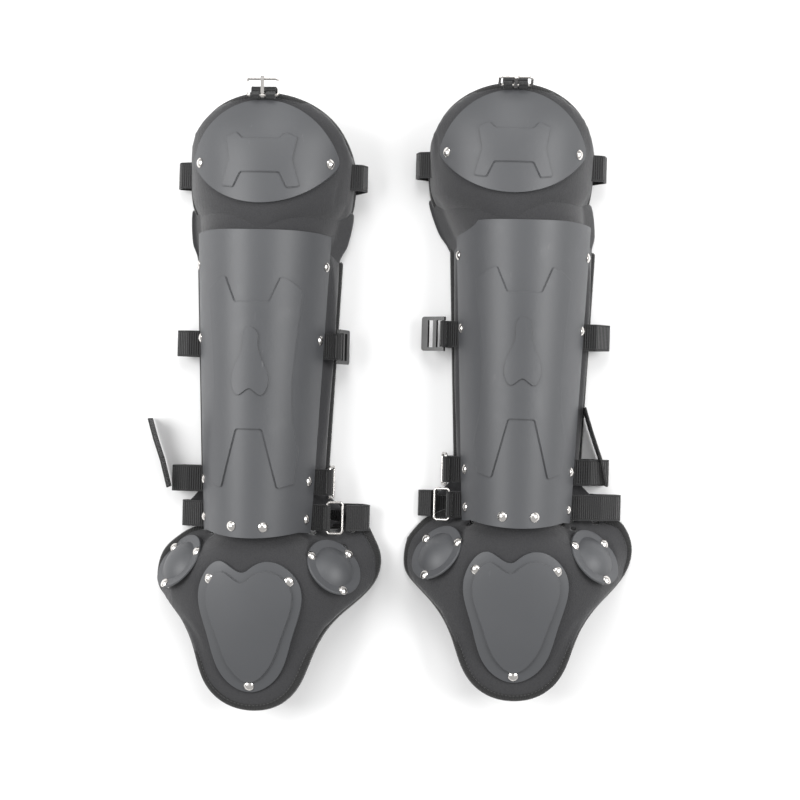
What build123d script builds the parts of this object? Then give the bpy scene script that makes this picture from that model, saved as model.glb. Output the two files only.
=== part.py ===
"""A pair of hard-shell leg guards: knee, shin and instep, lying face up side by side.

Frame: +X across the pair, +Y from the toes to the knee, +Z out of the shells.
Origin: bottom centre of the pair's bounding box.  Units: millimetres.
Each guard is built about its own centre line and then laid in its place.
"""
from build123d import *
from functools import cache
from math import atan2, cos, degrees, radians, sin, sqrt
import os

# ---- driving dimensions -------------------------------------------------------------
SHELL = 2.8            # moulded shell thickness
FOAM = 10.0            # pad thickness
LINING = 3.0           # soft lining inside the pad
CLEAR = 0.3            # air between a shell and the pad under it
GROUND = 2.0           # underside of the pads: they stand on the straps
BURIED = 16.0          # how far the pad bands run below the floor before they are cut
WEB_W = 25.0           # webbing width
WEB_T = 1.6            # webbing thickness
RIVET_R = 4.6          # rivet head radius
SHANK_R = 1.8          # rivet shank radius
WIRE_R = 1.25          # buckle wire radius
LOOP_R = 3.2           # outside radius of a webbing loop round a buckle bar
FRAME_W = 30.0         # wire buckle: along its bar
FRAME_H = 15.0         # wire buckle: from bar to bar
SLIDE_LEN = 24.0       # plastic three-bar slide: from bar to tip
ORIGIN_SHIFT = (4.2, 2.99, 0.0)   # brings the pair's box centre onto the origin

# Arch stations: y, half width at the floor, crest height, height where the flare starts,
# flare half width at the floor
KNEE_ARCH = [
    (146, 45.0, 82.5, 20, 54),
    (159, 47.0, 84.0, 22, 60),
    (178, 74.0, 86.0, 26, 80),
    (205, 81.0, 85.5, 26, 84),
    (236, 83.0, 84.0, 24, 86),
    (266, 81.0, 77.0, 22, 84),
    (296, 76.0, 64.0, 18, 78),
]
SHIN_ARCH = [
    (156, 64.6, 88.6, 26, 72),
    (-134, 51.6, 81.0, 22, 60),
]
FOOT_ARCH = [
    (-98, 41.0, 64.0, 18, 84),
    (-130, 44.0, 69.0, 24, 106),
    (-158, 92.0, 72.0, 46, 114),
    (-200, 100.0, 68.0, 40, 112),
    (-250, 92.0, 59.0, 28, 104),
    (-300, 84.0, 46.0, 18, 98),
]
KNEE_AXIS = (149.0, 4.0)       # y, z of the fold between knee and shin
FOOT_AXIS = (-118.0, 62.0)     # y, z of the fold between shin and instep
SHIN_PAD_ENDS = (142.0, -90.0)
DISC_PLACE = (76.0, -157.0)    # x, y of an ankle disc before the guard is laid down
TOP_BAR = (280.0, 80.5)        # y, z of the top buckle's bar

# How each guard lies: centre line, height on the page, lean, rolls and sideways shifts.
# inner is the side that faces the other guard; the droops are buckle angles below level.
GUARDS = {
    "left": dict(x=-126.9, y=-4.5, lean=-1.5, roll=-5, foot_roll=-7, knee_dx=4.0, foot_dx=3.0,
                 inner=1, top_tilt=8, calf_droop=70),
    "right": dict(x=119.7, y=4.5, lean=-1.5, roll=-2, foot_roll=-2, knee_dx=-13.0, foot_dx=0.0,
                  inner=-1, top_tilt=72, calf_droop=30),
}


# ---- arches: the curved bands every shell and pad is cut from -------------------------
def section_plane(y):
    """The upright plane across the guard at y."""
    return Plane(origin=(0, y, 0), x_dir=(1, 0, 0), z_dir=(0, -1, 0))


def shell_section(station, inner, outer):
    """A half-elliptic strip between two offsets from the pad's outer line."""
    y, a, b, _, _ = station
    top = EllipticalCenterArc((0, 0), a + outer, b + outer, arc_size=180)
    under = EllipticalCenterArc((0, 0), a + inner, b + inner, arc_size=180)
    ends = [Line(top @ 0, under @ 0), Line(top @ 1, under @ 1)]
    return section_plane(y) * make_face([top, under] + ends)


def pad_section(station, inner, outer):
    """The pad's strip: an arch whose lower edges flare out to the floor and past it."""
    y, a, b, flare_z, flare_x = station

    def line(offset):
        ax, bz = a + offset, b + offset
        hip = ax * sqrt(1 - (flare_z / bz) ** 2)
        angle = degrees(atan2(flare_z / bz, hip / ax))
        arc = EllipticalCenterArc((0, 0), ax, bz, start_angle=angle, arc_size=180 - 2 * angle)
        spread = (flare_x + offset - hip) / flare_z
        toe = flare_x + offset + BURIED * spread
        return Line((toe, -BURIED), arc @ 0), arc, Line(arc @ 1, (-toe, -BURIED))

    out = line(outer)
    within = line(inner)
    ends = [Line(out[0] @ 0, within[0] @ 0), Line(out[2] @ 1, within[2] @ 1)]
    return section_plane(y) * make_face(list(out) + list(within) + ends)


def arch(stations, section, inner, outer):
    """The band through all stations, flat-sided between only two of them."""
    faces = [section(station, inner, outer) for station in stations]
    return loft(faces, ruled=len(faces) == 2)


def tall(face):
    """A plan face as a tall cutter."""
    return Pos(0, 0, -40) * extrude(face, 200)


def mirrored(points):
    """The points of a right half, closed by the same points on the left."""
    return points + [(-x, y) for x, y in reversed(points) if x]


def smooth_face(points):
    """The face inside a smooth closed line through the points."""
    return make_face(Spline(*points, periodic=True))


def rounded_face(points, radius, inset=0.0):
    """The face inside a closed polyline with rounded corners, drawn in by the inset."""
    face = fillet(make_face(Polyline(*points, close=True)).vertices(), radius)
    return offset(face, -inset) if inset else face


# ---- plan outlines --------------------------------------------------------------------
def knee_pad_outline(inset=0.0):
    half = [(60, 146 + inset), (73, 170), (79, 205), (68, 255 - 0.7 * inset)]
    right = [(x - inset, y) for x, y in half]
    top = Spline(*right, (0, 285 - inset), *[(-x, y) for x, y in reversed(right)])
    return make_face([top, Line(top @ 1, top @ 0)])


def knee_cap_outline():
    upper = ThreePointArc((70, 221), (0, 277), (-70, 221))
    lower = ThreePointArc((-70, 221), (0, 180), (70, 221))
    return fillet(make_face([upper, lower]).vertices(), 16)


def shin_plate_outline():
    left = Line((-90, -127), (-90, 152))
    top = Spline((-90, 152), (-54, 156), (0, 155), (54, 156), (90, 152))
    right = Line((90, 152), (90, -127))
    low_right = ThreePointArc((90, -127), (62, -129), (44, -125.5))
    scallop = ThreePointArc((44, -125.5), (0, -129.5), (-44, -125.5))
    low_left = ThreePointArc((-44, -125.5), (-62, -129), (-90, -127))
    return make_face([left, top, right, low_right, scallop, low_left])


def foot_pad_outline():
    half = [(0, -296), (24, -291), (44, -273), (58, -238), (80, -204), (107, -178), (114, -158),
            (106, -132)]
    edge = Spline(*[(-x, y) for x, y in reversed(half)], *half[1:])
    right = Spline(edge @ 1, (90, -108), (72, -98))
    left = Spline(edge @ 0, (-90, -108), (-72, -98))
    return make_face([edge, right, left, Line(right @ 1, left @ 1)])


def foot_plate_outline(inset=0.0):
    """The heart-shaped instep shell, or the panel inside it."""
    half = [(0, -160 - inset), (26 - 0.1 * inset, -153 - inset), (47 - inset, -173), (41 - inset, -222),
            (23 - 0.7 * inset, -266 + inset), (0, -277 + inset)]
    return smooth_face(mirrored(half))


def knee_panel_outline(inset=0.0):
    half = [(17, 240), (23, 246), (34, 242), (30, 221), (37, 196), (25, 194), (18, 208)]
    return rounded_face(mirrored(half), 2.2, inset)


def shin_panel_outline(inset=0.0):
    half = [(16, 89), (26, 113), (34, 110), (45, 101), (40, 50), (37, 12), (38, -22), (43, -48),
            (40, -80), (26, -84), (12, -29)]
    return rounded_face(mirrored(half), 2.5, inset)


def keyhole_outline(inset=0.0):
    """The bottle-shaped rib in the middle of the shin."""
    half = [(0, 66 - inset), (7 - inset, 61), (8 - inset, 48), (17 - inset, 10), (11 - 0.5 * inset, 2 + inset),
            (0, 8 + inset)]
    return smooth_face(mirrored(half))


# ---- shells -----------------------------------------------------------------------------
def raised(stations, outline, height, inset=0.0):
    """A panel standing proud of a shell, with a stepped soft edge."""
    skin = CLEAR + SHELL
    low = arch(stations, shell_section, skin - 1.0, skin + height * 0.55)
    high = arch(stations, shell_section, skin - 1.0, skin + height)
    return (low & tall(outline(inset))) + (high & tall(outline(inset + 0.8)))


@cache
def knee_cap():
    band = arch(KNEE_ARCH, shell_section, CLEAR, CLEAR + SHELL)
    return (band & tall(knee_cap_outline())) + raised(KNEE_ARCH, knee_panel_outline, 1.5)


@cache
def shin_plate():
    above_edges = Pos(0, 0, 28 + 100) * Box(300, 600, 200)
    band = arch(SHIN_ARCH, shell_section, CLEAR, CLEAR + SHELL) & above_edges
    plate = band & tall(shin_plate_outline())
    plate += raised(SHIN_ARCH, shin_panel_outline, 1.5)
    return plate + raised(SHIN_ARCH, keyhole_outline, 3.0)


@cache
def instep_plate():
    band = arch(FOOT_ARCH, shell_section, CLEAR, CLEAR + SHELL)
    return (band & tall(foot_plate_outline())) + raised(FOOT_ARCH, foot_plate_outline, 2.4, 9.0)


# ---- pads ---------------------------------------------------------------------------------
def pad(stations, outline, inner, outer):
    return arch(stations, pad_section, inner, outer) & tall(outline)


def length_outline(y_from, y_to):
    """A plan rectangle, for cutting a band to length."""
    return Pos(0, (y_from + y_to) / 2) * Rectangle(300, y_to - y_from)


@cache
def knee_pad():
    return pad(KNEE_ARCH, knee_pad_outline(), -FOAM, 0)


@cache
def knee_lining():
    return pad(KNEE_ARCH, knee_pad_outline(9.0), -FOAM - LINING - CLEAR, -FOAM - CLEAR)


@cache
def shin_pad():
    top, low = SHIN_PAD_ENDS
    return pad(SHIN_ARCH, length_outline(low, top), -FOAM, 0)


@cache
def shin_lining():
    top, low = SHIN_PAD_ENDS
    return pad(SHIN_ARCH, length_outline(low + 9, top - 9), -FOAM - LINING - CLEAR, -FOAM - CLEAR)


@cache
def instep_pad():
    pressed = arch(FOOT_ARCH, shell_section, 0, 25) & tall(foot_plate_outline(-1.0))
    return pad(FOOT_ARCH, foot_pad_outline(), -FOAM, 0) - pressed


def above(height, solid):
    """Cut off what would reach below the given height."""
    return solid & (Pos(0, 0, height + 100) * Box(700, 900, 200))


# ---- fasteners ------------------------------------------------------------------------------
def seat(solid, x, y):
    """The plane lying on top of a solid at plan point (x, y)."""
    hits = solid.find_intersection_points(Axis((x, y, 300), (0, 0, -1)))
    point, normal = max(hits, key=lambda hit: hit[0].Z)
    up = normal if normal.Z > 0 else -normal
    return Plane(origin=point, x_dir=(up.Z, 0, -up.X), z_dir=up)


def rivet(grip):
    """A domed rivet: its head's underside lies at z = 0."""
    head = Pos(0, 0, -3.6) * (Sphere(6.2) & (Pos(0, 0, 4.9) * Cylinder(RIVET_R, 2.6)))
    return head + Pos(0, 0, -grip / 2) * Cylinder(SHANK_R, grip)


def rivet_set(shell, places, grip=9.0):
    """Rivets pressed through a shell and the pad under it."""
    return Compound(children=[seat(shell, x, y) * rivet(grip) for x, y in places])


def ankle_disc():
    """A domed disc with a flat flange, underside at z = 0."""
    flange = Pos(0, 0, 1) * Cylinder(29, 2)
    flange = fillet(flange.edges().group_by(Axis.Z)[-1], 0.9)
    dome = (Pos(0, 0, -21) * Sphere(31)) & (Pos(0, 0, 10) * Cylinder(22.5, 20))
    hollow = (Pos(0, 0, -23.2) * Sphere(31)) & (Pos(0, 0, 9) * Cylinder(19.5, 22))
    return flange + dome - hollow


# ---- webbing ------------------------------------------------------------------------------------
def ribbon(points, radius, y_mid):
    """Flat webbing whose line runs in an upright plane across the guard."""
    path = FilletPolyline(*points, radius=radius) if radius else Polyline(*points)
    return extrude(section_plane(y_mid + WEB_W / 2) * trace(path, line_width=WEB_T), WEB_W)


def bar_loop(y_mid, x, z):
    """The eye of webbing that a buckle's bar turns in."""
    ring = Circle(LOOP_R) - Circle(LOOP_R - WEB_T)
    return extrude(section_plane(y_mid + WEB_W / 2) * Pos(x, z) * ring, WEB_W)


def edgewise_ribbon(points, radius, z_low, z_high):
    """A loose end of webbing standing on its edge."""
    path = FilletPolyline(*points, radius=radius)
    return Pos(0, 0, z_low) * extrude(trace(path, line_width=WEB_T), z_high - z_low)


def rolled(x, z, roll):
    """A point of the cross-section after the guard is rolled about the floor line."""
    turn = radians(roll)
    return x * cos(turn) + z * sin(turn), z * cos(turn) - x * sin(turn)


# ---- buckles: bar at the origin along X, body towards +Y ------------------------------------------
def wire_buckle():
    """A rectangular frame of round wire."""
    line = Pos(0, FRAME_H / 2) * RectangleRounded(FRAME_W, FRAME_H, 3)
    path = line.face().outer_wire()
    profile = Plane(origin=path @ 0, z_dir=path % 0) * Circle(WIRE_R)
    return sweep(profile, path=path)


def buckle_tongue():
    """The flat prong: an eye round the bar and a tongue reaching over the far side."""
    eye = Rot(0, 90, 0) * (Cylinder(WIRE_R + 1.5, 3.2) - Cylinder(WIRE_R + 0.3, 5))
    tongue = Pos(0, FRAME_H / 2 + 2.2, WIRE_R + 0.95) * Box(3.2, FRAME_H + 1.2, 1.1)
    return eye + tongue


def slide_buckle():
    """A moulded three-bar slide: a round bar at the origin, then two slots."""
    plate = Pos(0, SLIDE_LEN / 2 - 1) * RectangleRounded(WEB_W + 8, SLIDE_LEN, 3)
    plate -= Pos(0, 3.6) * Rectangle(WEB_W + 1, 6.4)
    plate -= Pos(0, 13.4) * Rectangle(WEB_W + 1, 5.6)
    body = Pos(0, 0, -1.7) * extrude(plate, 3.4)
    body = body - Pos(0, -1.5, 0) * Box(WEB_W + 1, 8, 8)
    ears = [Pos(s * (WEB_W + 4.5) / 2, 0.6, 0) * Box(3.5, 4.4, 3.4) for s in (-1, 1)]
    bar = Rot(0, 90, 0) * Cylinder(WIRE_R, WEB_W + 6)
    return body + ears[0] + ears[1] + bar


# ---- straps of one guard: each list runs from the inner side (+) to the outer side (-) ----------
def leg_strap(y_mid, inner_end, outer_root, reach, lie):
    """The long strap: free end at the buckle, under the leg, up to its sewn end."""
    inner, roll = lie["inner"], lie["roll"] * lie["inner"]
    floor = WEB_T / 2
    tip = rolled(*inner_end, roll)
    down = [(-x, z) for x, z in (rolled(x, z, -roll) for x, z in outer_root)]
    points = [tip, (tip[0] - 12, floor), (-reach + 14, floor), (-reach, 13)] + down
    return ribbon([(inner * x, z) for x, z in points], 3, y_mid)


def wing_line(points, roll):
    """A strap's line over one wing and down to the floor under its tip."""
    line = [point for point in (rolled(x, z, roll) for x, z in points) if point[1] > 3]
    return line + [(line[-1][0] - 7, WEB_T / 2)]


def buckle_tab(y_mid, points, lie, roll_key="roll"):
    """The short webbing that holds a side buckle, and the bar's place."""
    inner = lie["inner"]
    line = [rolled(x, z, lie[roll_key] * inner) for x, z in points]
    (x0, z0), (x1, z1) = line[-2:]
    run = sqrt((x1 - x0) ** 2 + (z1 - z0) ** 2)
    reach = (LOOP_R - WEB_T / 2) / run
    bar_x, bar_z = x1 + (x1 - x0) * reach, z1 + (z1 - z0) * reach
    web = ribbon([(inner * x, z) for x, z in line], 0, y_mid)
    return web + bar_loop(y_mid, inner * bar_x, bar_z), (inner * bar_x, y_mid, bar_z)


def side_place(bar, droop, inner):
    """The frame of a side buckle: bar along the guard, body outwards and down."""
    turn = radians(droop)
    return Plane(origin=bar, x_dir=(0, -inner, 0), z_dir=(inner * sin(turn), 0, cos(turn))).location


def top_tab():
    """Webbing folded over the pad's top edge, with the eye for the top buckle."""
    y_bar, z_bar = TOP_BAR
    path = FilletPolyline((262, 57.5), (288.5, 53.5), (288.5, 77.2), (y_bar + 0.4, z_bar - LOOP_R + WEB_T / 2),
                          radius=2.2)
    plane = Plane(origin=(-WEB_W / 2 + 1, 0, 0), x_dir=(0, 1, 0), z_dir=(1, 0, 0))
    web = extrude(plane * trace(path, line_width=WEB_T), WEB_W - 2)
    eye = extrude(plane * Pos(y_bar, z_bar) * (Circle(LOOP_R) - Circle(LOOP_R - WEB_T)), WEB_W - 2)
    tongue_slot = Pos(0, y_bar, z_bar) * Box(6, 3 * LOOP_R, 2 * LOOP_R + 1)
    return web + eye - tongue_slot


# ---- one guard -------------------------------------------------------------------------------
def knee_nodes(lie):
    place = Pos(lie["knee_dx"], 0, 0) * Rot(0, lie["roll"], 0)
    rivets = rivet_set(knee_cap(), [(-62, 220), (62, 220)])
    root = [(-92, 13), (-88, 24), (-76, 27)]
    loop = [rolled(x, z, lie["roll"]) for x, z in root]
    far = [(-x, z) for x, z in (rolled(x, z, -lie["roll"]) for x, z in root)]
    strap = loop[::-1] + [(-80, WEB_T / 2), (80, WEB_T / 2)] + far
    tilt = Pos(0, *TOP_BAR) * Rot(lie["top_tilt"], 0, 0)
    return {
        "knee_cap": place * knee_cap(),
        "knee_pad": above(GROUND, place * knee_pad()),
        "knee_lining": above(GROUND + 8, place * knee_lining()),
        "knee_rivets": place * rivets,
        "knee_strap": Pos(lie["knee_dx"], 0, 0) * ribbon(strap, 4, 213),
        "top_tab": place * top_tab(),
        "top_buckle": place * tilt * wire_buckle(),
        "top_tongue": place * tilt * buckle_tongue(),
    }


def shin_nodes(lie):
    place = Rot(0, lie["roll"], 0)
    inner = lie["inner"]
    places = [(sx * x, y) for y, x in ((126, 61.5), (56, 57.5), (-78, 50.5), (-114, 49)) for sx in (-1, 1)]
    rivets = rivet_set(shin_plate(), places + [(-15, -119), (15, -119)])
    calf_tab, calf_bar = buckle_tab(51, [(57, 24.5), (65, 25), (72, 27)], lie)
    ankle_tab, ankle_bar = buckle_tab(-79, [(51, 21), (59, 22), (66, 24)], lie)
    tail = [(-90, -88), (-97, -62), (-104, -42), (-110, -22)] if inner > 0 else \
           [(-86, -92), (-80, -66), (-70, -38), (-63, -16)]
    return {
        "shin_plate": place * shin_plate(),
        "shin_pad": above(GROUND, place * shin_pad()),
        "shin_lining": above(GROUND + 8, place * shin_lining()),
        "shin_rivets": place * rivets,
        "calf_strap": leg_strap(51, (75, 9), [(72, 26), (57, 24.5)], 87, lie),
        "calf_tab": calf_tab,
        "calf_slide": side_place(calf_bar, lie["calf_droop"], inner) * slide_buckle(),
        "ankle_strap": leg_strap(-79, (69, 8), [(70, 24), (51, 21)], 90, lie),
        "ankle_tab": ankle_tab,
        "ankle_buckle": side_place(ankle_bar, 78, inner) * wire_buckle(),
        "strap_tail": edgewise_ribbon([(inner * x, y) for x, y in tail], 30, 2.0, 26.0),
    }


def instep_nodes(lie):
    place = Pos(lie["foot_dx"], 0, 0) * Rot(0, lie["foot_roll"], 0)
    inner, roll = lie["inner"], lie["foot_roll"]
    rivets = rivet_set(instep_plate(), [(-38, -170), (38, -170), (0, -271)])
    cushion = instep_pad()
    nodes, disc_rivets = {}, []
    for hand, disc_name in ((inner, "inner_ankle_disc"), (-inner, "outer_ankle_disc")):
        spot = seat(cushion, hand * DISC_PLACE[0], DISC_PLACE[1]).offset(-2.2)
        cushion = cushion - spot * (Pos(0, 0, 5) * Cylinder(29.2, 10))
        nodes[disc_name] = place * (spot * ankle_disc())
        for turn in (30, 150, 270):
            disc_rivets.append(spot * Rot(0, 0, turn) * Pos(25.2, 0, 2) * rivet(6))
    tab, bar = buckle_tab(-113, [(46, 20), (54, 21), (62, 22.5)], lie, "foot_roll")
    over_wing = [(82, 15.5), (97, 8.5), (103, 3)]
    near = wing_line(over_wing, roll * inner)
    far = wing_line([(46, 21), (60, 21.5)] + over_wing, -roll * inner)
    line = near + [(-x, z) for x, z in reversed(far)]
    nodes.update({
        "instep_plate": place * instep_plate(),
        "instep_pad": above(GROUND, place * cushion),
        "instep_rivets": place * rivets,
        "disc_rivets": place * Compound(children=disc_rivets),
        "instep_strap": Pos(lie["foot_dx"], 0, 0) * ribbon([(inner * x, z) for x, z in line], 3, -113),
        "instep_tab": Pos(lie["foot_dx"], 0, 0) * tab,
        "instep_buckle": Pos(lie["foot_dx"], 0, 0) * side_place(bar, 18 + roll * inner, inner) * wire_buckle(),
    })
    return nodes


def build_guard(name, lie):
    """All nodes of one guard, in the pair's frame."""
    laid = Pos(*ORIGIN_SHIFT) * Pos(lie["x"], lie["y"], 0) * Rot(0, 0, lie["lean"])
    nodes = {**knee_nodes(lie), **shin_nodes(lie), **instep_nodes(lie)}
    return {f"{name}_{key}": laid * solid for key, solid in nodes.items()}


def main():
    os.makedirs("parts", exist_ok=True)
    for name, lie in GUARDS.items():
        for key, solid in build_guard(name, lie).items():
            export_step(solid, f"parts/{key}.step")


if __name__ == "__main__":
    main()
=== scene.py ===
"""A pair of hard-shell leg guards lying face up: finishes, padding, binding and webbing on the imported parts.

Metres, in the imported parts' frame: +X across the pair, +Y to the knees, +Z out of the shells.
"""
import bmesh
import bpy
import heapq
from math import atan2, cos, pi, radians, sin, sqrt
from mathutils import Matrix, Vector
from mathutils.bvhtree import BVHTree


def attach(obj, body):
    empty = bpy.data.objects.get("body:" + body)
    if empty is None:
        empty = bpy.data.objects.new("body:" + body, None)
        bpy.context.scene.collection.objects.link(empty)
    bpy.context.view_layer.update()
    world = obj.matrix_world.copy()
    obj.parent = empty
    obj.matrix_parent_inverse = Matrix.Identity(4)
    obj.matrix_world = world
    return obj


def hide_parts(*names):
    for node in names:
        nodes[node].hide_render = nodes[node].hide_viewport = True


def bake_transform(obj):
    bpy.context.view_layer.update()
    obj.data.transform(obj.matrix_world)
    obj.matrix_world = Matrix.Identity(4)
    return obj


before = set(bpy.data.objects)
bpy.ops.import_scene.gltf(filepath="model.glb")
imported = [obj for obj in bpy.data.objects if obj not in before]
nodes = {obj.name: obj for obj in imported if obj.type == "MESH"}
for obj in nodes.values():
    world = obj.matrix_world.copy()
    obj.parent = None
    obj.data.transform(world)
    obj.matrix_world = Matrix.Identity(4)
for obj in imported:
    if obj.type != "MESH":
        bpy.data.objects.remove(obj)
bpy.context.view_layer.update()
GUARDS = ("left", "right")


# ---- hard shells: knee caps, shin plates, instep plates, ankle discs ---------------------
# Injection-moulded polyethylene, very dark grey, with a fine spark-eroded grain from the tool,
# satin where hands have rubbed it, with a painted highlight that makes the rounded edges paler.
class Signal:
    """A socket of a material's tree. Arithmetic on it adds Math nodes, and node() adds any other."""

    def __init__(self, tree, socket=None):
        self.tree = tree
        self.socket = socket

    def node(self, kind, settings=None, sockets=None, output=0):
        made = self.tree.nodes.new(kind)
        for key, value in (settings or {}).items():
            setattr(made, key, value)
        for key, value in (sockets or {}).items():
            if isinstance(value, Signal):
                self.tree.links.new(value.socket, made.inputs[key])
            else:
                made.inputs[key].default_value = value
        return Signal(self.tree, made.outputs[output] if made.outputs else None)

    def maths(self, operation, first, second=0.0):
        return self.node("ShaderNodeMath", {"operation": operation}, {0: first, 1: second})

    def __add__(self, other):
        return self.maths("ADD", self, other)

    def __radd__(self, other):
        return self.maths("ADD", other, self)

    def __sub__(self, other):
        return self.maths("SUBTRACT", self, other)

    def __rsub__(self, other):
        return self.maths("SUBTRACT", other, self)

    def __mul__(self, other):
        return self.maths("MULTIPLY", self, other)

    def __rmul__(self, other):
        return self.maths("MULTIPLY", other, self)

    def between(self, low, high):
        """0 below low and 1 above high."""
        return self.node("ShaderNodeMapRange", {"interpolation_type": "SMOOTHSTEP"},
                         {"Value": self, "From Min": low, "From Max": high})

    def noise(self, place, scale, detail=2.0, roughness=0.5):
        sockets = {"Vector": place, "Scale": scale, "Detail": detail, "Roughness": roughness}
        return self.node("ShaderNodeTexNoise", {}, sockets)

    def cells(self, place, scale):
        return self.node("ShaderNodeTexVoronoi", {}, {"Vector": place, "Scale": scale})

    def blend(self, factor, colour, other):
        return self.node("ShaderNodeMix", {"data_type": "RGBA"}, {0: factor, 6: colour, 7: other}, output=2)

    def bump(self, height, distance, strength=1.0, normal=None):
        sockets = {"Height": height, "Distance": distance, "Strength": strength}
        if normal is not None:
            sockets["Normal"] = normal
        return self.node("ShaderNodeBump", {}, sockets)


def grey(value, warmth=0.0):
    """A grey, or with some warmth a slightly yellow one."""
    return (value * (1 + warmth), value, value * (1 - warmth), 1.0)


def start_material(name):
    """A new material: the material, its signals, and the place on the object."""
    material = bpy.data.materials.new(name)
    material.use_nodes = True
    material.node_tree.nodes.clear()
    signals = Signal(material.node_tree)
    return material, signals, signals.node("ShaderNodeTexCoord", output=3)


def close_material(signals, sockets):
    surface = signals.node("ShaderNodeBsdfPrincipled", {}, sockets)
    signals.node("ShaderNodeOutputMaterial", {}, {"Surface": surface})


def shell_finish():
    material, s, place = start_material("moulded_shell")
    grain = s.cells(place, 2600.0)
    cloud = s.noise(place, 9.0, 3.0)
    rubbed = s.noise(place, 42.0, 5.0, 0.65).between(0.5, 0.75)
    stretched = s.node("ShaderNodeMapping", {}, {"Vector": place, "Scale": (1.0, 0.16, 1.0)})
    scuffs = s.noise(stretched, 240.0, 4.0, 0.7).between(0.62, 0.72) * rubbed
    # mask for a painted highlight: where the bevelled normal leaves the true one, at rounded edges
    rounded = s.node("ShaderNodeBevel", {"samples": 3}, {"Radius": 0.0005})
    true_normal = s.node("ShaderNodeNewGeometry", {}, {}, output=1)
    dot_product = {"operation": "DOT_PRODUCT"}
    aligned = s.node("ShaderNodeVectorMath", dot_product, {0: rounded, 1: true_normal}, output=1)
    edge = (1 - aligned).between(0.02, 0.22)
    base = s.blend(cloud, (0.058, 0.060, 0.064, 1), (0.073, 0.075, 0.080, 1))
    base = s.blend(scuffs * 0.35, base, (0.19, 0.19, 0.195, 1))
    # painted highlight: the rounded edges are made paler, as if they caught the light
    base = s.blend(edge * 0.4, base, (0.17, 0.172, 0.178, 1))
    rough = 0.45 + cloud * 0.06 - rubbed * 0.05 + scuffs * 0.12
    normal = s.bump(grain + scuffs * 0.8, 0.00006, 0.55, rounded)
    close_material(s, {"Base Color": base, "Roughness": rough, "Normal": normal, "Specular IOR Level": 0.5,
                       "Coat Weight": 0.0})
    return material


def dress(node, material):
    """Gives a shown node its finish."""
    thing = nodes[node]
    thing.data.materials.clear()
    thing.data.materials.append(material)


moulded_shell = shell_finish()
SHELLS = ("knee_cap", "shin_plate", "instep_plate", "inner_ankle_disc", "outer_ankle_disc")
for guard in GUARDS:
    for shell in SHELLS:
        dress(f"{guard}_{shell}", moulded_shell)


# ---- rivets ---------------------------------------------------------------------------------
# Domed steel rivets in bright nickel plate, set through shell and pad; the crowns carry hairline
# scratches and the rims are a little duller.
def nickel_finish(name, tone, rough):
    material, s, place = start_material(name)
    hairlines = s.node("ShaderNodeMapping", {}, {"Vector": place, "Scale": (1.0, 9.0, 1.0)})
    scratch = s.noise(hairlines, 900.0, 3.0, 0.6)
    tarnish = s.noise(place, 130.0, 3.0, 0.6).between(0.45, 0.75)
    base = s.blend(tarnish * 0.5, grey(tone, 0.035), grey(tone * 0.62, 0.06))
    rough = rough + scratch * 0.1 + tarnish * 0.12
    close_material(s, {"Base Color": base, "Metallic": 1.0, "Roughness": rough,
                       "Normal": s.bump(scratch, 0.00003, 0.4)})
    return material


rivet_nickel = nickel_finish("rivet_nickel_plate", 0.74, 0.12)
RIVETS = ("knee_rivets", "shin_rivets", "instep_rivets", "disc_rivets")
for guard in GUARDS:
    for rivets in RIVETS:
        dress(f"{guard}_{rivets}", rivet_nickel)


# ---- wire buckles and tongues ---------------------------------------------------------------
# Frames bent from 2.5 mm steel wire and a flat stamped tongue, all nickel plated, rubbed dull
# where the webbing runs.
wire_nickel = nickel_finish("buckle_nickel_plate", 0.6, 0.2)
for guard in GUARDS:
    for wire in ("top_buckle", "top_tongue", "ankle_buckle", "instep_buckle"):
        dress(f"{guard}_{wire}", wire_nickel)


# ---- calf slides -----------------------------------------------------------------------------
# Three-bar slides moulded in black acetal: smooth, slightly greasy gloss, with faint flow marks.
def acetal_finish():
    material, s, place = start_material("black_acetal")
    flow = s.noise(place, 60.0, 4.0, 0.6)
    grain = s.cells(place, 1900.0)
    close_material(s, {"Base Color": s.blend(flow, grey(0.012), grey(0.024)), "Roughness": 0.3 + flow * 0.16,
                       "Normal": s.bump(grain, 0.00005, 0.35)})
    return material


black_acetal = acetal_finish()
for guard in GUARDS:
    dress(f"{guard}_calf_slide", black_acetal)


# ---- pads: knee, shin and instep --------------------------------------------------------------
# Closed-cell foam, 10 mm, in a charcoal knitted cover, with a brushed lining quilted to the side
# that touches the leg. The foam swells wherever no shell or rivet holds it down.
LEAN = -1.5                    # degrees; each guard is turned a little on the table
CENTRE = {"left": (-0.1227, -0.00151), "right": (0.1239, 0.00749)}
# how far each section rolls to one side, in degrees, and how far it is shifted
ROLLS = {"left": {"knee": (-5, 0.004), "shin": (-5, 0.0), "instep": (-7, 0.003)},
         "right": {"knee": (-2, -0.013), "shin": (-2, 0.0), "instep": (-2, 0.0)}}
VOXEL = 0.0038
PRESSURE = 4.0
CLOTH_STEPS = 20
SWELL = 0.0055                 # the most that the cover may move
HELD_WITHIN = 0.0025           # this close to a shell or rivet the cover is held
FREE_BEYOND = 0.010            # and past this it is free
LOWEST = 0.0008                # height kept above the table
LEG_SIDE = 0.35                # how squarely a face must look at the leg to be lining
PAD_NODES = {"knee": ("knee_pad", "knee_lining"),
             "shin": ("shin_pad", "shin_lining"),
             "instep": ("instep_pad",)}


def section_place(guard, section):
    """Where one section of one guard lies: its matrix in the pair's frame."""
    roll, shift = ROLLS[guard][section]
    x, y = CENTRE[guard]
    lay = Matrix.Translation((x, y, 0)) @ Matrix.Rotation(radians(LEAN), 4, "Z")
    return lay @ Matrix.Translation((shift, 0, 0)) @ Matrix.Rotation(radians(roll), 4, "Y")


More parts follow.
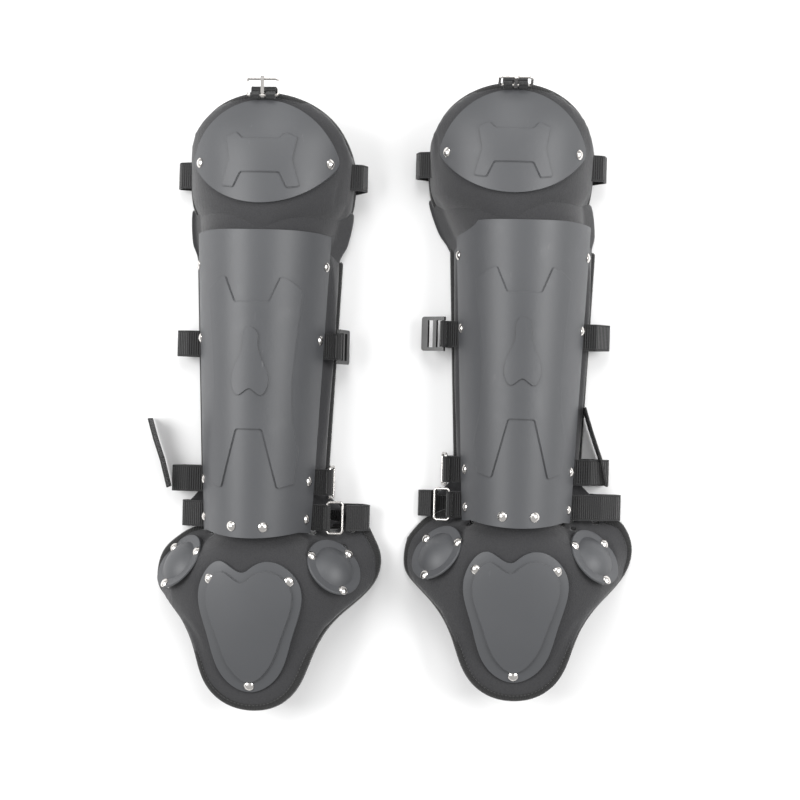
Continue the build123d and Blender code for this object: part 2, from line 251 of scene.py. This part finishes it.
def knit_finish():
    material, s, place = start_material("charcoal_knit")
    loops = s.cells(place, 950.0)
    fuzz = s.noise(place, 1500.0, 2.0)
    cloud = s.noise(place, 14.0, 3.0, 0.55)
    base = s.blend(cloud, (0.024, 0.024, 0.026, 1), (0.037, 0.037, 0.039, 1))
    base = s.blend(loops.between(0.25, 0.75) * 0.55, base, (0.018, 0.018, 0.020, 1))
    close_material(s, {"Base Color": base, "Roughness": 0.86 + cloud * 0.1, "Sheen Weight": 0.35,
                       "Sheen Roughness": 0.45, "Normal": s.bump(fuzz * 0.4 - loops, 0.0004, 0.6)})
    return material


def lining_finish():
    material, s, place = start_material("brushed_lining")
    parts = s.node("ShaderNodeSeparateXYZ", {}, {0: place})
    along = s.node("ShaderNodeSeparateXYZ", {}, {0: place}, output=1)
    spacing = 0.034
    rising = s.maths("ABSOLUTE", s.maths("FRACT", (along + parts) * (1 / spacing)) - 0.5)
    falling = s.maths("ABSOLUTE", s.maths("FRACT", (along - parts) * (1 / spacing)) - 0.5)
    channel = s.maths("MAXIMUM", rising, falling).between(0.43, 0.5)
    nap = s.noise(place, 900.0, 3.0, 0.7)
    base = s.blend(nap, (0.026, 0.026, 0.028, 1), (0.050, 0.050, 0.053, 1))
    base = s.blend(channel * 0.6, base, (0.012, 0.012, 0.013, 1))
    close_material(s, {"Base Color": base, "Roughness": 0.9 + nap * 0.08, "Sheen Weight": 0.4,
                       "Sheen Roughness": 0.5, "Normal": s.bump(nap * 0.12 - channel, 0.0016, 0.7)})
    return material


def copied_mesh(names):
    """One bmesh with merged copies of the named nodes."""
    made = bmesh.new()
    for name in names:
        made.from_mesh(nodes[name].data)
    bmesh.ops.remove_doubles(made, verts=made.verts, dist=0.00002)
    return made


def new_piece(name, made, materials):
    """A mesh object from a bmesh, with smooth faces."""
    mesh = bpy.data.meshes.new(name)
    for face in made.faces:
        face.smooth = True
    made.to_mesh(mesh)
    made.free()
    for material in materials:
        mesh.materials.append(material)
    piece = bpy.data.objects.new(name, mesh)
    bpy.context.scene.collection.objects.link(piece)
    return piece


def settled(piece):
    """Keeps the shape the piece's modifiers give it now, and takes them off."""
    seen = piece.evaluated_get(bpy.context.evaluated_depsgraph_get())
    mesh = bpy.data.meshes.new_from_object(seen)
    piece.modifiers.clear()
    piece.data = mesh


def rounded(piece):
    """Rounds the piece with one level of subdivision."""
    rounder = piece.modifiers.new("rounder", "SUBSURF")
    rounder.levels = 1
    rounder.render_levels = 1
    settled(piece)


def tree_of(names):
    """The surfaces of the named nodes, for finding the nearest point."""
    made = copied_mesh(names)
    tree = BVHTree.FromBMesh(made)
    made.free()
    return tree


def swell(piece, hard):
    """Fills the cover: cloth under pressure, held where a shell or rivet presses on it."""
    before = [vertex.co.copy() for vertex in piece.data.vertices]
    free = []
    for spot in before:
        gap = hard.find_nearest(spot)[3]
        share = min(1.0, max(0.0, (gap - HELD_WITHIN) / (FREE_BEYOND - HELD_WITHIN)))
        free.append(share * share * (3 - 2 * share))
    held = piece.vertex_groups.new(name="held")
    for index, share in enumerate(free):
        held.add([index], 1 - share, "REPLACE")
    cloth = piece.modifiers.new("cover", "CLOTH")
    cloth.settings.use_pressure = True
    cloth.settings.uniform_pressure_force = PRESSURE
    cloth.settings.vertex_group_mass = "held"
    cloth.settings.effector_weights.gravity = 0.0
    cloth.point_cache.frame_start = 1
    cloth.point_cache.frame_end = CLOTH_STEPS
    for step in range(1, CLOTH_STEPS + 1):
        bpy.context.scene.frame_set(step)
    settled(piece)
    for vertex, start, share in zip(piece.data.vertices, before, free):
        move = vertex.co - start
        limit = SWELL * share
        if move.length > limit:
            move = move * (limit / move.length)
        vertex.co = start + move
        vertex.co.z = max(vertex.co.z, LOWEST)
    piece.vertex_groups.clear()
    bpy.context.scene.frame_set(1)


def padded_piece(guard, section, finishes):
    """One section's padding: its pad and lining in one remeshed, swollen cover."""
    names = [f"{guard}_{name}" for name in PAD_NODES[section]]
    piece = new_piece(f"{guard}_{section}_padding", copied_mesh(names), finishes)
    remesh = piece.modifiers.new("remesh", "REMESH")
    remesh.mode = "VOXEL"
    remesh.voxel_size = VOXEL
    settled(piece)
    swell(piece, tree_of([f"{guard}_{name}" for name in SHELLS + RIVETS]))
    rounded(piece)
    local = section_place(guard, section).inverted()
    for face in piece.data.polygons:
        face.use_smooth = True
        spot = local @ face.center
        facing = local.to_3x3() @ face.normal
        inwards = Vector((-spot.x, 0, -spot.z))
        face.material_index = 1 if facing.dot(inwards.normalized()) > LEG_SIDE else 0
    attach(piece, f"{guard}_{section}")
    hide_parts(*names)


charcoal_knit = knit_finish()
brushed_lining = lining_finish()
for guard in GUARDS:
    for section in PAD_NODES:
        padded_piece(guard, section, (charcoal_knit, brushed_lining))


# ---- fold gussets ---------------------------------------------------------------------------------
# A doubled layer of the same knit carries on behind the shells from pad to pad, and bends there:
# one between knee and shin, one between shin and instep.
# Each station, in millimetres: y, half width of the arch, its crest, the height where its feet start
# to flare, and their half width at the floor.
GUSSETS = {
    "knee": [(128, 61, 84, 22, 69), (138, 62, 84.5, 22, 70.5), (146, 64, 85, 22, 76),
             (154, 66, 84, 22, 77.5), (166, 69, 83, 22, 79.5), (182, 71.5, 83, 24, 80.5)],
    "instep": [(-78, 52, 80, 22, 59), (-88, 51, 78, 20, 61), (-96, 45, 68, 18, 68), (-106, 41, 62, 18, 80)],
}
GUSSET_THICK = 0.004
GUSSET_STEPS = 44
GUSSET_LOWEST = 0.0035
FOOT_SHARE = 0.14              # the part of a gusset's width that flares, at each side
FOOT_LOWEST = 2.6              # millimetres


def arch_point(station, share):
    """A point of an arched line; share runs from 0 at the right foot to 1 at the left foot."""
    y, half_width, crest, flare_z, flare_x = station
    hip = half_width * sqrt(1 - (flare_z / crest) ** 2)
    start = atan2(flare_z / crest, hip / half_width)
    if FOOT_SHARE <= share <= 1 - FOOT_SHARE:
        angle = start + (pi - 2 * start) * (share - FOOT_SHARE) / (1 - 2 * FOOT_SHARE)
        return Vector((half_width * cos(angle), y, crest * sin(angle))) / 1000
    side = 1 if share < 0.5 else -1
    down = (FOOT_SHARE - min(share, 1 - share)) / FOOT_SHARE
    x = hip + (flare_x - hip) * down
    return Vector((side * x, y, flare_z + (FOOT_LOWEST - flare_z) * down)) / 1000


def next_row(made, row, edges):
    """Extrudes a row of points: the new points in the same order, and the edges between them."""
    grown = bmesh.ops.extrude_edge_only(made, edges=edges)["geom"]
    fresh = {item for item in grown if isinstance(item, bmesh.types.BMVert)}
    edges = [item for item in grown if isinstance(item, bmesh.types.BMEdge)]
    edges = [edge for edge in edges if edge.verts[0] in fresh and edge.verts[1] in fresh]
    row = [next(e.other_vert(old) for e in old.link_edges if e.other_vert(old) in fresh) for old in row]
    return row, edges


def gusset(guard, section, stations):
    """A doubled sheet from the shin's pad to the section's, blended over the fold."""
    place = section_place(guard, "shin")
    other = section_place(guard, section)
    first, last = stations[0][0], stations[-1][0]
    shares = [step / GUSSET_STEPS for step in range(GUSSET_STEPS + 1)]

    def laid(station, share):
        spot = arch_point(station, share)
        spot = (place @ spot).lerp(other @ spot, (station[0] - first) / (last - first))
        spot.z = max(spot.z, GUSSET_LOWEST)
        return spot

    made = bmesh.new()
    row = [made.verts.new(laid(stations[0], share)) for share in shares]
    edges = [made.edges.new(pair) for pair in zip(row, row[1:])]
    for station in stations[1:]:
        row, edges = next_row(made, row, edges)
        for vertex, share in zip(row, shares):
            vertex.co = laid(station, share)
    bmesh.ops.recalc_face_normals(made, faces=made.faces)
    top = max(made.faces, key=lambda face: face.calc_center_median().z)
    if top.normal.z < 0:
        bmesh.ops.reverse_faces(made, faces=made.faces)
    bmesh.ops.solidify(made, geom=made.faces[:], thickness=GUSSET_THICK)
    piece = new_piece(f"{guard}_{section}_gusset", made, (charcoal_knit,))
    rounded(piece)
    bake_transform(piece)


for guard in GUARDS:
    for section, stations in GUSSETS.items():
        gusset(guard, section, stations)


# ---- webbing ----------------------------------------------------------------------------------------
# 25 mm polyester webbing, black: a ribbed plain weave with thicker selvedges, cut hot and stitched
# down. Calf, ankle and instep straps, the knee band, the buckle tabs and a loose tail.
WEB = 0.025
RIB = 0.0021
THREAD = 0.0014
SELVEDGE = 0.0022
CUT_EDGE = 0.00035             # how far the ribbon's edges are rounded
SHARP = 1.2                    # radians; edges turned more than this are rounded
OUT_OF_REACH = 9.0             # weave length given to a point that no edge leads to


def webbing_finish():
    material, s, place = start_material("black_webbing")
    laid = s.node("ShaderNodeAttribute", {"attribute_name": "weave"}, {}, output=1)
    along = s.node("ShaderNodeSeparateXYZ", {}, {0: laid}, output=0)
    across = s.node("ShaderNodeSeparateXYZ", {}, {0: laid}, output=1)
    ribs = s.maths("SINE", along * (2 * pi / RIB))
    threads = s.maths("SINE", across * (2 * pi / THREAD)) * 0.35
    from_middle = s.maths("ABSOLUTE", across - WEB / 2)
    selvedge = from_middle.between(WEB / 2 - SELVEDGE, WEB / 2 - THREAD)
    height = ribs * (1 - selvedge) + threads + selvedge * 0.8
    cloud = s.noise(place, 45.0, 3.0)
    base = s.blend(ribs * 0.3 + 0.4, grey(0.011), grey(0.030))
    base = s.blend(cloud * 0.5, base, (0.024, 0.024, 0.026, 1))
    close_material(s, {"Base Color": base, "Roughness": 0.74 + cloud * 0.14, "Sheen Weight": 0.25,
                       "Sheen Roughness": 0.4, "Normal": s.bump(height, 0.0005, 0.8)})
    return material


def lengths_along(made, spots):
    """Each point's shortest way over the mesh from one end of a ribbon, its width left out."""
    made.verts.index_update()
    made.verts.ensure_lookup_table()
    first = min(range(len(spots)), key=lambda i: spots[i].x + spots[i].y * 0.2)
    reach = [OUT_OF_REACH] * len(spots)
    reach[first] = 0.0
    queue = [(0.0, first)]
    while queue:
        so_far, index = heapq.heappop(queue)
        if so_far > reach[index]:
            continue
        for edge in made.verts[index].link_edges:
            other = edge.other_vert(made.verts[index]).index
            step = so_far + (spots[index] - spots[other]).length
            if step < reach[other] - 1e-9:
                reach[other] = step
                heapq.heappush(queue, (step, other))
    return reach


def lay_weave(piece, places):
    """Stores where each point lies on the weave: along it, then across it."""
    weave = piece.data.attributes.new("weave", "FLOAT_VECTOR", "POINT")
    for point, (along, across) in zip(weave.data, places):
        point.vector = (along, across, 0.0)


def webbing(guard, node, body, across=1):
    """The node's own ribbon with soft edges and its weave laid along it."""
    source = f"{guard}_{node}"
    made = copied_mesh([source])
    sharp = [edge for edge in made.edges if len(edge.link_faces) == 2 and edge.calc_face_angle() > SHARP]
    bmesh.ops.bevel(made, geom=sharp, offset=CUT_EDGE, affect="EDGES", segments=2, profile=0.5, material=-1)
    straight = Matrix.Rotation(-radians(LEAN), 4, "Z")
    if across == 0:
        straight = section_place(guard, "shin").inverted()
    spots = [straight @ vertex.co for vertex in made.verts]
    low = min(spot[across] for spot in spots)
    widths = [spot[across] - low for spot in spots]
    flat = [Vector([0 if i == across else c for i, c in enumerate(spot)]) for spot in spots]
    reach = lengths_along(made, flat)
    piece = new_piece(f"{source}_webbing", made, (black_webbing,))
    lay_weave(piece, zip(reach, widths))
    for face in piece.data.polygons:
        face.use_smooth = False
    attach(piece, body)
    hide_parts(source)


black_webbing = webbing_finish()
for guard in GUARDS:
    webbing(guard, "knee_strap", f"{guard}_knee")
    webbing(guard, "top_tab", f"{guard}_knee", across=0)
    for name in ("calf_strap", "calf_tab", "ankle_strap", "ankle_tab"):
        webbing(guard, name, f"{guard}_shin")
    webbing(guard, "strap_tail", f"{guard}_shin", across=2)
    for name in ("instep_strap", "instep_tab"):
        webbing(guard, name, f"{guard}_instep")


# ---- edge binding and its stitches --------------------------------------------------------------------
# Woven tape folded over the pads' cut edges and lockstitched through, almost 8 mm wide on the face side.
# The knee and instep are bound round their open ends, the shin along its two sides.
TAPE_PROUD = 0.0014
TAPE_WIDE = 0.0078
TAPE_TALL = 0.0100
TAPE_RIB = 0.0017
TAPE_STEP = 0.004
# section: pad node, centre the edge is seen from, half angle left open, direction of the open side
BOUND_EDGES = {
    "knee": ("knee_pad", (0, 0.215), 42, -90),
    "instep": ("instep_pad", (0, -0.175), 48, 90),
}
ROUND_STEPS = 240
SHIN_EDGE = (0.138, -0.089)
SHIN_STEPS = 56
ABOVE_ALL, BELOW_ALL, BESIDE_ALL = 0.3, -0.1, 0.25    # where rays that look for the pad start
LEVELS = [-0.008 + level * 0.0033 for level in range(30)]
INSETS = (0.0006, 0.0012, 0.002, 0.003, 0.0045)
TAPE_DROP = 0.003              # how far the tape's inner side may lie below its fold
TAPE_RISE = 0.0035             # and how far above it
TAPE_UNDER = 0.0006
STITCH = 0.0036
THREAD_SIZE = (0.0007, 0.0027, 0.0006)
THREAD_PROUD = 0.0004
STITCH_INSET = 0.28            # where the stitches run, as a share of the tape's width from its inner side


def edge_tree(guard, node, place):
    """The pad's solid, seen in its own section's frame."""
    made = copied_mesh([f"{guard}_{node}"])
    bmesh.ops.transform(made, matrix=place.inverted(), verts=made.verts)
    tree = BVHTree.FromBMesh(made)
    made.free()
    return tree


def heights(tree, x, y):
    """Lowest and highest surface over a plan point, or None beside the pad."""
    top = tree.ray_cast(Vector((x, y, ABOVE_ALL)), Vector((0, 0, -1)))[0]
    low = tree.ray_cast(Vector((x, y, BELOW_ALL)), Vector((0, 0, 1)))[0]
    return (low.z, top.z) if top and low else None


def silhouette(tree, centre, direction):
    """The farthest the pad reaches from the centre in a plan direction."""
    best = 0.0
    for z in LEVELS:
        middle = Vector((centre[0], centre[1], z))
        hit = tree.ray_cast(middle + direction * BESIDE_ALL, -direction)[0]
        if hit:
            best = max(best, (hit - middle).dot(direction))
    return best


def eased(points, rounds):
    """The same line with its corners eased."""
    for _ in range(rounds):
        inner = [(a + 2 * b + c) / 4 for a, b, c in zip(points, points[1:], points[2:])]
        points = [points[0], *inner, points[-1]]
    return points


def evened(points, step):
    """The same line in equal steps, its corners eased."""
    points = eased(points, 3)
    out, left = [points[0]], step
    for a, b in zip(points, points[1:]):
        run = (b - a).length
        while run >= left:
            a = a + (b - a) * (left / run)
            out.append(a)
            run = (b - a).length
            left = step
        left -= run
    return out


def rails(tree, plan, place):
    """Four lines along the edge: outer low, outer high, inner high, inner low, in the pair's frame."""
    lines = [[], [], [], []]
    for index, spot in enumerate(plan):
        ahead = plan[min(index + 1, len(plan) - 1)] - plan[max(index - 1, 0)]
        side = Vector((ahead.y, -ahead.x, 0)).normalized()
        just_in = None
        for inset in INSETS:
            just_in = just_in or heights(tree, *(spot - side * inset).xy)
        if just_in is None:
            continue
        further = heights(tree, *(spot - side * TAPE_WIDE).xy) or just_in
        low = just_in[0]
        high = min(just_in[1], low + TAPE_TALL)
        inner_high = max(high - TAPE_DROP, min(further[1], high + TAPE_RISE))
        inner_low = max(low - TAPE_DROP, min(further[0], low + TAPE_DROP))
        outside = spot + side * TAPE_PROUD
        inside = spot - side * TAPE_WIDE
        corners = ((outside, low - TAPE_UNDER), (outside, high + TAPE_PROUD),
                   (inside, inner_high + TAPE_PROUD), (inside, inner_low - TAPE_UNDER))
        for line, (base, z) in zip(lines, corners):
            there = place @ Vector((base.x, base.y, z))
            there.z = max(there.z, LOWEST)
            line.append(there)
    return [eased(line, 4) for line in lines]


def tape_finish():
    material, s, place = start_material("woven_binding")
    laid = s.node("ShaderNodeAttribute", {"attribute_name": "weave"}, {}, output=1)
    along = s.node("ShaderNodeSeparateXYZ", {}, {0: laid}, output=0)
    ribs = s.maths("SINE", along * (2 * pi / TAPE_RIB))
    fuzz = s.noise(place, 1200.0, 2.0)
    base = s.blend(ribs * 0.35 + 0.4, grey(0.009), grey(0.024))
    close_material(s, {"Base Color": base, "Roughness": 0.8 + fuzz * 0.1, "Sheen Weight": 0.3,
                       "Sheen Roughness": 0.4, "Normal": s.bump(ribs + fuzz * 0.3, 0.0004, 0.7)})
    return material


def bind(name, guard, section, lines):
    """The folded tape along four rails, closed at its ends."""
    made = bmesh.new()
    ring = [made.verts.new(line[0]) for line in lines]
    edges = [made.edges.new((ring[i], ring[(i + 1) % 4])) for i in range(4)]
    made.faces.new(ring)
    lengths = [0.0]
    for step in range(1, len(lines[0])):
        ring, edges = next_row(made, ring, edges)
        for vertex, line in zip(ring, lines):
            vertex.co = line[step]
        lengths.append(lengths[-1] + (lines[1][step] - lines[1][step - 1]).length)
    made.faces.new(ring)
    bmesh.ops.recalc_face_normals(made, faces=made.faces)
    piece = new_piece(name, made, (woven_binding,))
    lay_weave(piece, [(length, 0.0) for length in lengths for _ in range(4)])
    rounded(piece)
    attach(piece, f"{guard}_{section}")


def stitch_line(name, guard, section, lines):
    """A lockstitch along the tape's inner side: short threads, nose to tail."""
    made = bmesh.new()
    path = [inner.lerp(outer, STITCH_INSET) for outer, inner in zip(lines[1], lines[2])]
    path = evened(path, STITCH)
    for a, b in zip(path, path[1:]):
        middle = (a + b) / 2 + Vector((0, 0, THREAD_PROUD))
        turn = (b - a).normalized().to_track_quat("Y", "Z").to_matrix().to_4x4()
        thread = bmesh.ops.create_icosphere(made, subdivisions=1, radius=0.5)["verts"]
        bmesh.ops.scale(made, vec=THREAD_SIZE, verts=thread)
        bmesh.ops.transform(made, matrix=Matrix.Translation(middle) @ turn, verts=thread)
    piece = new_piece(name, made, (stitch_thread,))
    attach(piece, f"{guard}_{section}")


def thread_finish():
    material, s, place = start_material("stitch_thread")
    twist = s.noise(place, 2200.0, 2.0)
    close_material(s, {"Base Color": s.blend(twist, grey(0.03), grey(0.07)), "Roughness": 0.55 + twist * 0.2,
                       "Normal": s.bump(twist, 0.0001, 0.5)})
    return material


def bind_edge(guard, section, end, tree, plan):
    """The tape and its stitches along a plan line round a pad's edge."""
    lines = rails(tree, evened(plan, TAPE_STEP), section_place(guard, section))
    bind(f"{guard}_{section}_binding{end}", guard, section, lines)
    stitch_line(f"{guard}_{section}_stitching{end}", guard, section, lines)


woven_binding = tape_finish()
stitch_thread = thread_finish()
for guard in GUARDS:
    for section, (node, centre, open_half, open_at) in BOUND_EDGES.items():
        tree = edge_tree(guard, node, section_place(guard, section))
        plan = []
        for step in range(ROUND_STEPS + 1):
            angle = radians(open_at + open_half + (360 - 2 * open_half) * step / ROUND_STEPS)
            direction = Vector((cos(angle), sin(angle), 0))
            far = silhouette(tree, centre, direction)
            if far > 0:
                plan.append(Vector((centre[0], centre[1], 0)) + direction * far)
        bind_edge(guard, section, "", tree, plan)
    tree = edge_tree(guard, "shin_pad", section_place(guard, "shin"))
    for hand, side in (("right", 1), ("left", -1)):
        first, last = SHIN_EDGE[::-1] if side > 0 else SHIN_EDGE
        plan = []
        for step in range(SHIN_STEPS + 1):
            y = first + (last - first) * step / SHIN_STEPS
            far = silhouette(tree, (0, y), Vector((side, 0, 0)))
            plan.append(Vector((side * far, y, 0)))
        bind_edge(guard, "shin", f"_{hand}", tree, plan)


# ---- table, light and camera -----------------------------------------------------------------------------
# White paper under the pair, two large soft lights from the sides and a weaker one past the knees.
def paper_finish():
    material, s, place = start_material("white_paper")
    tone = s.noise(place, 3.0, 2.0)
    close_material(s, {"Base Color": s.blend(tone, grey(0.86), grey(0.9)), "Roughness": 0.9,
                       "Normal": s.bump(s.noise(place, 400.0, 2.0), 0.00005, 0.2)})
    return material


sheet = bmesh.new()
bmesh.ops.create_grid(sheet, x_segments=8, y_segments=8, size=3.0)
table = new_piece("table", sheet, (paper_finish(),))

world = bpy.data.worlds.new("studio")
bpy.context.scene.world = world
world.use_nodes = True
world.node_tree.nodes["Background"].inputs["Color"].default_value = (1, 1, 1, 1)
world.node_tree.nodes["Background"].inputs["Strength"].default_value = 0.55


def soft_light(name, place, size, power):
    """A square soft light aimed at the middle of the pair."""
    lamp = bpy.data.lights.new(name, "AREA")
    lamp.size = size
    lamp.energy = power
    light = bpy.data.objects.new(name, lamp)
    aim = (-Vector(place)).to_track_quat("-Z", "Y").to_matrix().to_4x4()
    light.matrix_world = Matrix.Translation(place) @ aim
    bpy.context.scene.collection.objects.link(light)


soft_light("left_light", (-1.3, 0.25, 1.15), 1.0, 26)
soft_light("right_light", (1.3, 0.25, 1.15), 1.0, 24)
soft_light("top_light", (0.0, 1.3, 1.5), 0.9, 12)

lens = bpy.data.cameras.new("camera")
lens.lens = 69.1
lens.sensor_width = 36
lens.clip_start = 0.05
camera = bpy.data.objects.new("camera", lens)
camera.location = (0.0085, -0.0032, 1.5)
bpy.context.scene.collection.objects.link(camera)
bpy.context.scene.camera = camera
bpy.context.scene.view_settings.view_transform = "Standard"
